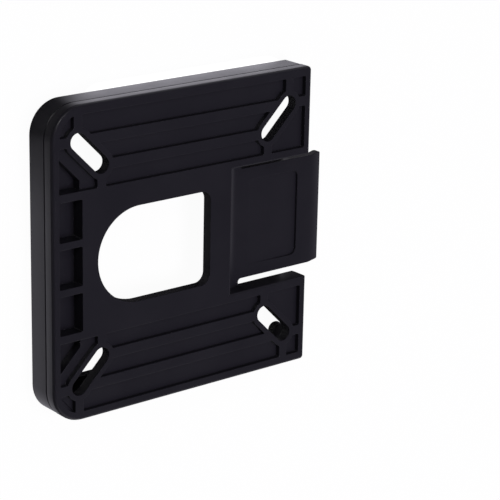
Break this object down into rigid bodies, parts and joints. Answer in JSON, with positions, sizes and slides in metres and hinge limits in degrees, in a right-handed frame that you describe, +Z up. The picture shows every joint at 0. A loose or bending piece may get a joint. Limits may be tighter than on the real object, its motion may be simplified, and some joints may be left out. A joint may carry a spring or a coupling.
{
  "type": "boat seat mount",
  "caption": "Square ribbed seat mount plate with diagonal bolt slots, a round-ended window, a channel underneath and a sprung latch tongue at its open end.",
  "frame": {"origin": "middle of the square body, on the underside of its two lips", "axes": "+Z up to the seat face, +X towards the open end where the tongue stands out, Y across the plate; the body is symmetric about Y = 0"},
  "size_m": [0.2109, 0.19, 0.0234],
  "materials": {
    "moulded_body": "satin, finely textured",
    "moulded_tongue": "satin, finely textured"
  },
  "bodies": {
    "plate": {"mount_plate": "moulded_body"},
    "latch": {"latch_tongue": "moulded_tongue"}
  },
  "joints": [
    {"name": "latch_flex", "type": "hinge", "parent": "plate", "child": "latch", "pos_m": [0.05075, 0, 0.01095], "axis": [0, -1, 0], "range_deg": [0, 5], "stiffness_Nm_per_rad": 40}
  ]
}
